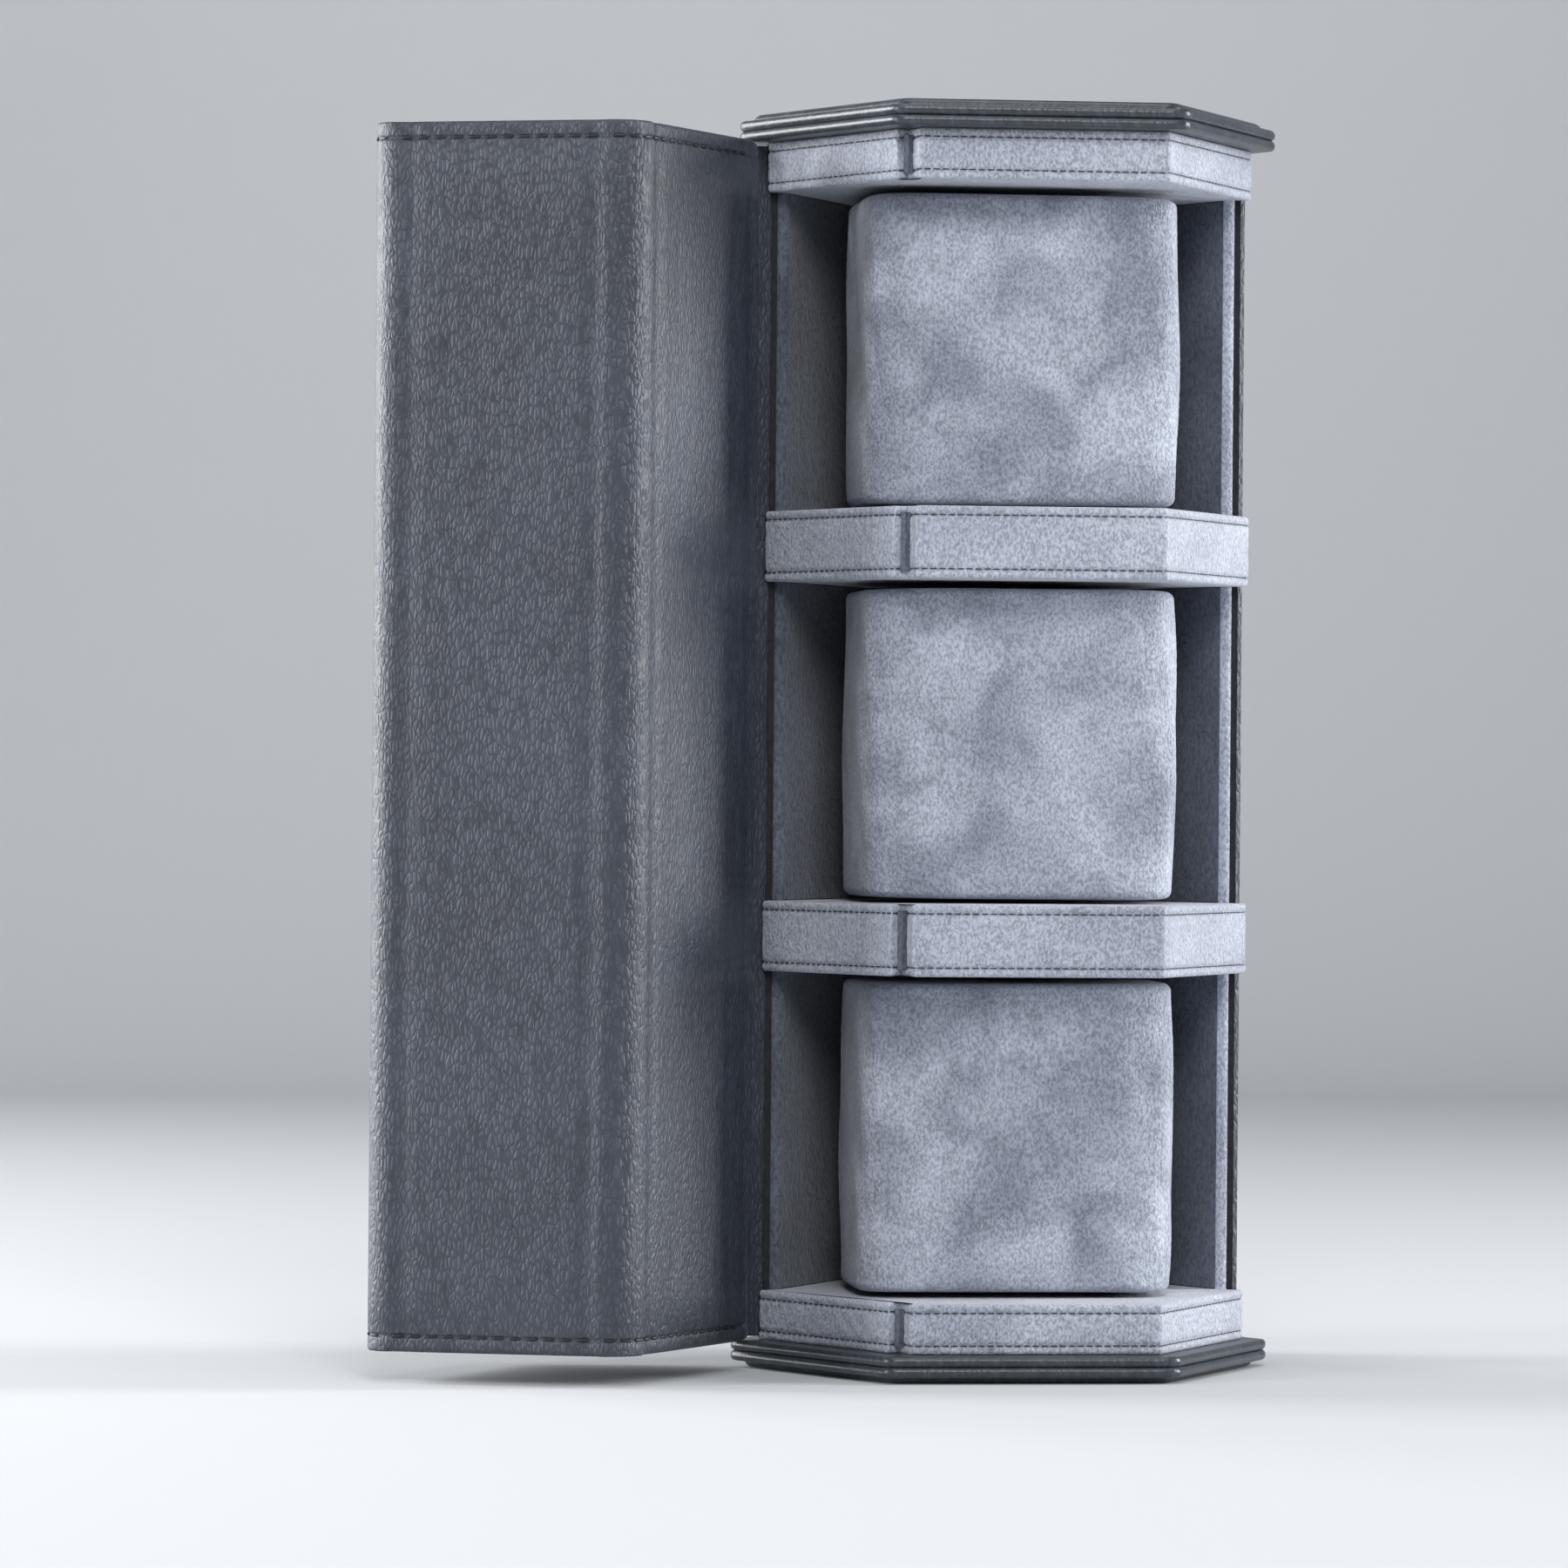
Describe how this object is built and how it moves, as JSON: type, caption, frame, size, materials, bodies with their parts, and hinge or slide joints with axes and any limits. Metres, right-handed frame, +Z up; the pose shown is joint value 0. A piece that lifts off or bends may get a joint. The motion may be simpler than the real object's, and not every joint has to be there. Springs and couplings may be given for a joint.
{
  "type": "watch roll",
  "caption": "Hexagonal leather watch roll, opened: velvet lined tray with padded dividers and lift-out cushions, and a folding wrap cover of stiff panels.",
  "frame": {"origin": "centre of the tray's base, on the surface it stands on", "axes": "+Z up along the roll, -Y out of the open front of the tray, -X towards the wrap cover"},
  "size_m": [0.176, 0.096, 0.2394],
  "materials": {
    "cover_leather": "pebble grained, satin",
    "cap_leather": "smooth, satin",
    "cushion_velvet": "brushed velvet",
    "divider_velvet": "velvet",
    "lining_velvet": "velvet",
    "stiff_board": "fibreboard",
    "magnet": "plated"
  },
  "bodies": {
    "tray": {"bottom_cap_pad": "cap_leather", "bottom_cap": "cap_leather", "top_cap": "cap_leather", "top_cap_pad": "cap_leather", "bottom_block_core": "stiff_board", "bottom_block_cover": "divider_velvet", "top_block_core": "stiff_board", "top_block_cover": "divider_velvet", "lower_divider_core": "stiff_board", "lower_divider_cover": "divider_velvet", "upper_divider_core": "stiff_board", "upper_divider_cover": "divider_velvet", "left_wall_board": "stiff_board", "back_wall_board": "stiff_board", "right_wall_board": "stiff_board", "tray_leather": "cover_leather", "lower_bay_lining": "lining_velvet", "middle_bay_lining": "lining_velvet", "upper_bay_lining": "lining_velvet", "tray_magnets": "magnet", "hinge_strip": "cover_leather"},
    "lower_cushion": {"lower_cushion": "cushion_velvet"},
    "middle_cushion": {"middle_cushion": "cushion_velvet"},
    "upper_cushion": {"upper_cushion": "cushion_velvet"},
    "panel_1": {"panel_1_board": "stiff_board", "panel_1_leather": "cover_leather", "panel_1_lining": "lining_velvet", "fold_2_strip": "cover_leather"},
    "panel_2": {"panel_2_board": "stiff_board", "panel_2_leather": "cover_leather", "panel_2_lining": "lining_velvet", "fold_3_strip": "cover_leather"},
    "panel_3": {"panel_3_board": "stiff_board", "panel_3_leather": "cover_leather", "panel_3_lining": "lining_velvet", "fold_4_strip": "cover_leather"},
    "panel_4": {"panel_4_board": "stiff_board", "panel_4_leather": "cover_leather", "panel_4_lining": "lining_velvet", "wrap_magnets": "magnet"}
  },
  "joints": [
    {"name": "wrap_hinge", "type": "hinge", "parent": "tray", "child": "panel_1", "pos_m": [-0.04985, 0, 0.1197], "axis": [0, 0, 1], "range_deg": [-75, 0], "deforming": ["hinge_strip"]},
    {"name": "wrap_fold_2", "type": "hinge", "parent": "panel_1", "child": "panel_2", "pos_m": [-0.10008, 0.00886, 0.1197], "axis": [0, 0, 1], "range_deg": [-70, 0], "deforming": ["fold_2_strip"]},
    {"name": "wrap_fold_3", "type": "hinge", "parent": "panel_2", "child": "panel_3", "pos_m": [-0.1248, -0.03575, 0.1197], "axis": [0, 0, 1], "range_deg": [-100, 0], "deforming": ["fold_3_strip"]},
    {"name": "wrap_fold_4", "type": "hinge", "parent": "panel_3", "child": "panel_4", "pos_m": [-0.07658, -0.05235, 0.1197], "axis": [0, 0, 1], "range_deg": [-5, 25], "deforming": ["fold_4_strip"]},
    {"name": "lower_cushion_out", "type": "slide", "parent": "tray", "child": "lower_cushion", "axis": [0, -1, 0], "range_m": [0, 0.06]},
    {"name": "middle_cushion_out", "type": "slide", "parent": "tray", "child": "middle_cushion", "axis": [0, -1, 0], "range_m": [0, 0.06]},
    {"name": "upper_cushion_out", "type": "slide", "parent": "tray", "child": "upper_cushion", "axis": [0, -1, 0], "range_m": [0, 0.06]}
  ]
}
